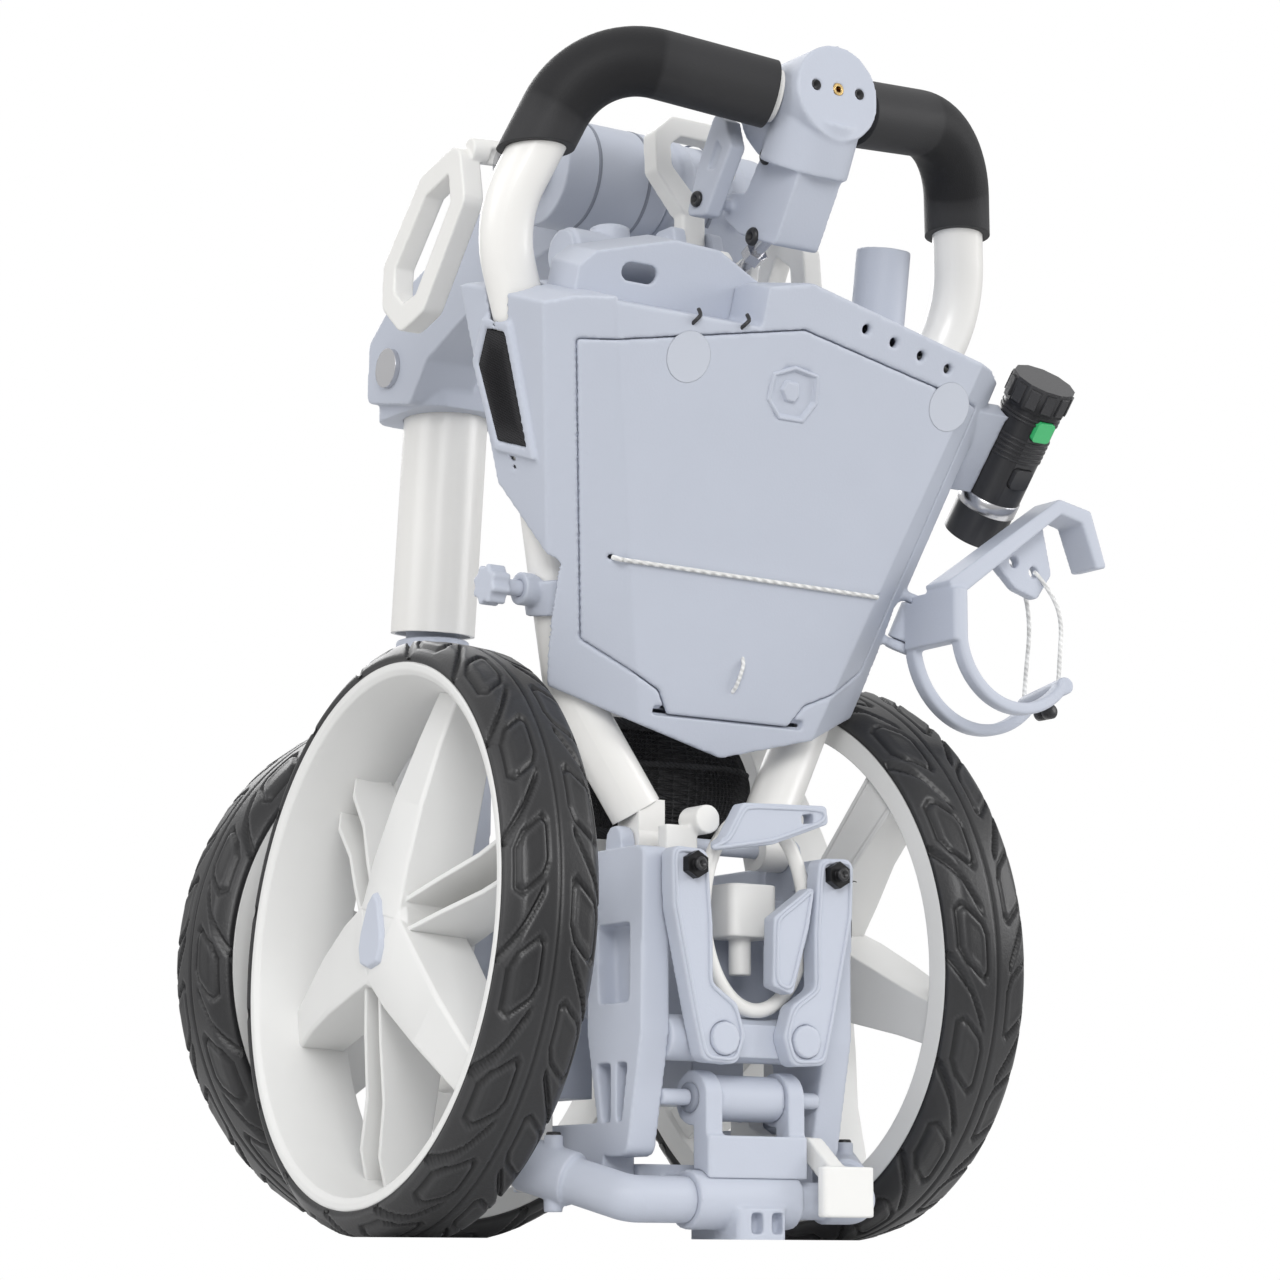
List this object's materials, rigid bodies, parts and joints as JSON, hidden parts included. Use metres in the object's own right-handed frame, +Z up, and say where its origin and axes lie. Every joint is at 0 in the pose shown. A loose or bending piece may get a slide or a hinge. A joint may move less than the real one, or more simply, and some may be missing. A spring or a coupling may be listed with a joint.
{
  "type": "folding three-wheel golf push trolley",
  "caption": "Folded three-wheel golf push trolley with console, grip handle, cup holder and lamp; wheels spin and links fold.",
  "frame": {"origin": "on the underside of the foot, on the mid-plane, under the bracket's cross rod", "axes": "+Z up; +Y away from the user, towards the front wheel; +X to the user's right"},
  "size_m": [0.3678, 0.4177, 0.5747],
  "materials": {
    "grey_plastic": "matt moulded",
    "white_tube": "satin powder coat",
    "white_plastic": "satin moulded",
    "rim_white": "satin moulded",
    "tyre_rubber": "matt",
    "grip_foam": "matt foam",
    "black_plastic": "matt",
    "black_nut": "blackened steel",
    "steel": "bright",
    "brass": "bright",
    "mesh_fabric": "black netting",
    "pad_fabric": "black loop pile",
    "webbing": "black webbing",
    "elastic_white": "braided elastic",
    "green_button": "green",
    "ring_white": "smooth"
  },
  "bodies": {
    "chassis": {"bracket_frame": "grey_plastic", "spine_tube": "white_tube", "bracket_arms": "grey_plastic", "bracket_nuts": "black_nut", "cross_rods": "grey_plastic", "link_clevis": "grey_plastic", "bottom_barrel": "grey_plastic", "elbows": "grey_plastic", "elastic_ring": "ring_white", "strap_cleats": "grey_plastic", "strap_posts": "white_plastic", "webbing_strap": "webbing", "mast_head": "grey_plastic", "hinge_pin": "steel", "strap_hub": "grey_plastic"},
    "front_tube": {"hinge_housing": "grey_plastic", "housing_bolt": "steel", "main_tube": "white_tube"},
    "fork": {"front_fork": "grey_plastic"},
    "front_wheel": {"front_rim": "rim_white", "front_tyre": "tyre_rubber", "front_hub_cap": "grey_plastic"},
    "left_lower": {"left_lower_link": "white_tube"},
    "left_upper": {"left_upper_link": "white_tube"},
    "left_carrier": {"left_hub_carrier": "grey_plastic"},
    "left_wheel": {"left_rim": "rim_white", "left_tyre": "tyre_rubber", "left_hub_cap": "grey_plastic"},
    "right_lower": {"right_lower_link": "white_tube"},
    "right_upper": {"right_upper_link": "white_tube"},
    "right_carrier": {"right_hub_carrier": "grey_plastic"},
    "right_wheel": {"right_rim": "rim_white", "right_tyre": "tyre_rubber", "right_hub_cap": "grey_plastic"},
    "upper_frame": {"frame_tubes": "white_tube", "grips": "grip_foam", "handle_joint": "grey_plastic", "threaded_insert": "brass", "tension_rod": "steel", "handle_clevis": "white_plastic", "console_shell": "grey_plastic", "console_rear_cover": "grey_plastic", "console_tray": "grey_plastic", "side_pads": "pad_fabric", "mesh_bag": "mesh_fabric", "umbrella_socket": "grey_plastic", "lamp_body": "black_plastic", "knob_clamp": "grey_plastic"},
    "lever": {"latch_lever": "grey_plastic"},
    "door": {"console_door": "grey_plastic", "door_cord": "elastic_white"},
    "bag_loop_left": {"bag_arm_left": "white_plastic"},
    "bag_loop_right": {"bag_arm_right": "white_plastic"},
    "loop_catch": {"release_loop": "white_plastic"},
    "pedal": {"brake_pedal": "white_plastic"},
    "cup": {"cup_holder": "grey_plastic", "cup_cord": "black_plastic"},
    "knob": {"side_knob": "grey_plastic"},
    "green_button": {"lamp_button_green": "green_button"},
    "black_button": {"lamp_button_black": "black_plastic"}
  },
  "joints": [
    {"name": "front_fold", "type": "hinge", "parent": "chassis", "child": "front_tube", "pos_m": [0, 0.068, 0.541], "axis": [1, 0, 0], "range_deg": [0, 95]},
    {"name": "fork_swivel", "type": "hinge", "parent": "front_tube", "child": "fork", "pos_m": [0, 0.276, 0.33], "axis": [0, 0, 1], "range_deg": [0, 90]},
    {"name": "front_wheel_spin", "type": "hinge", "parent": "fork", "child": "front_wheel", "pos_m": [0, 0.276, 0.146], "axis": [0, 1, 0], "continuous": true},
    {"name": "left_lower_swing", "type": "hinge", "parent": "chassis", "child": "left_lower", "pos_m": [-0.076, 0.05, 0.032], "axis": [0, -1, 0], "range_deg": [0, 80]},
    {"name": "left_upper_swing", "type": "hinge", "parent": "chassis", "child": "left_upper", "pos_m": [-0.076, 0.122, 0.082], "axis": [0, -1, 0], "range_deg": [0, 80]},
    {"name": "left_carrier_level", "type": "hinge", "parent": "left_lower", "child": "left_carrier", "pos_m": [-0.076, 0.05, 0.132], "axis": [0, -1, 0], "range_deg": [-80, 0]},
    {"name": "left_wheel_spin", "type": "hinge", "parent": "left_carrier", "child": "left_wheel", "pos_m": [-0.12, 0.089, 0.146], "axis": [-0.996, 0.0574, 0.068], "continuous": true},
    {"name": "right_lower_swing", "type": "hinge", "parent": "chassis", "child": "right_lower", "pos_m": [0.076, 0.05, 0.032], "axis": [0, 1, 0], "range_deg": [0, 80]},
    {"name": "right_upper_swing", "type": "hinge", "parent": "chassis", "child": "right_upper", "pos_m": [0.076, 0.122, 0.082], "axis": [0, 1, 0], "range_deg": [0, 80]},
    {"name": "right_carrier_level", "type": "hinge", "parent": "right_lower", "child": "right_carrier", "pos_m": [0.076, 0.05, 0.132], "axis": [0, 1, 0], "range_deg": [-80, 0]},
    {"name": "right_wheel_spin", "type": "hinge", "parent": "right_carrier", "child": "right_wheel", "pos_m": [0.12, 0.089, 0.146], "axis": [0.996, 0.0574, 0.068], "continuous": true},
    {"name": "upper_fold", "type": "hinge", "parent": "chassis", "child": "upper_frame", "pos_m": [0, 0.012, 0.192], "axis": [1, 0, 0], "range_deg": [0, 30]},
    {"name": "latch_lever_turn", "type": "hinge", "parent": "upper_frame", "child": "lever", "pos_m": [-0.029, -0.03, 0.506], "axis": [1, 0, 0], "range_deg": [-25, 0]},
    {"name": "door_hinge", "type": "hinge", "parent": "upper_frame", "child": "door", "pos_m": [0, -0.00749, 0.25395], "axis": [1, 0, 0], "range_deg": [0, 100]},
    {"name": "left_bag_loop_turn", "type": "hinge", "parent": "chassis", "child": "bag_loop_left", "pos_m": [-0.072, 0.068, 0.541], "axis": [1, 0, 0], "range_deg": [-40, 30]},
    {"name": "right_bag_loop_turn", "type": "hinge", "parent": "chassis", "child": "bag_loop_right", "pos_m": [0.072, 0.068, 0.541], "axis": [1, 0, 0], "range_deg": [-5, 75]},
    {"name": "release_loop_turn", "type": "hinge", "parent": "chassis", "child": "loop_catch", "pos_m": [-0.007, 0.015, 0.496], "axis": [1, 0, 0], "range_deg": [0, 20]},
    {"name": "brake_pedal_press", "type": "hinge", "parent": "chassis", "child": "pedal", "pos_m": [0.038, 0.03, 0.062], "axis": [1, 0, 0], "range_deg": [0, 6]},
    {"name": "cup_swing", "type": "hinge", "parent": "upper_frame", "child": "cup", "pos_m": [0.113, -0.008, 0.312], "axis": [0.246, -0.325, 0.9131], "range_deg": [-11, 0]},
    {"name": "side_knob_turn", "type": "hinge", "parent": "upper_frame", "child": "knob", "pos_m": [-0.118, 0.014, 0.31], "axis": [1, 0, 0], "continuous": true},
    {"name": "green_button_press", "type": "slide", "parent": "upper_frame", "child": "green_button", "axis": [0, 0.7593, 0.6508], "range_m": [0, 0.0012], "stiffness_N_per_m": 400},
    {"name": "black_button_press", "type": "slide", "parent": "upper_frame", "child": "black_button", "axis": [0, 0.7593, 0.6508], "range_m": [0, 0.0012], "stiffness_N_per_m": 400}
  ],
  "couplings": [
    {"joint": "fork_swivel", "follows": "front_fold", "ratio": 0.9474},
    {"joint": "left_upper_swing", "follows": "left_lower_swing", "ratio": 1},
    {"joint": "left_carrier_level", "follows": "left_lower_swing", "ratio": -1},
    {"joint": "right_lower_swing", "follows": "left_lower_swing", "ratio": 1},
    {"joint": "right_upper_swing", "follows": "left_lower_swing", "ratio": 1},
    {"joint": "right_carrier_level", "follows": "left_lower_swing", "ratio": -1}
  ]
}
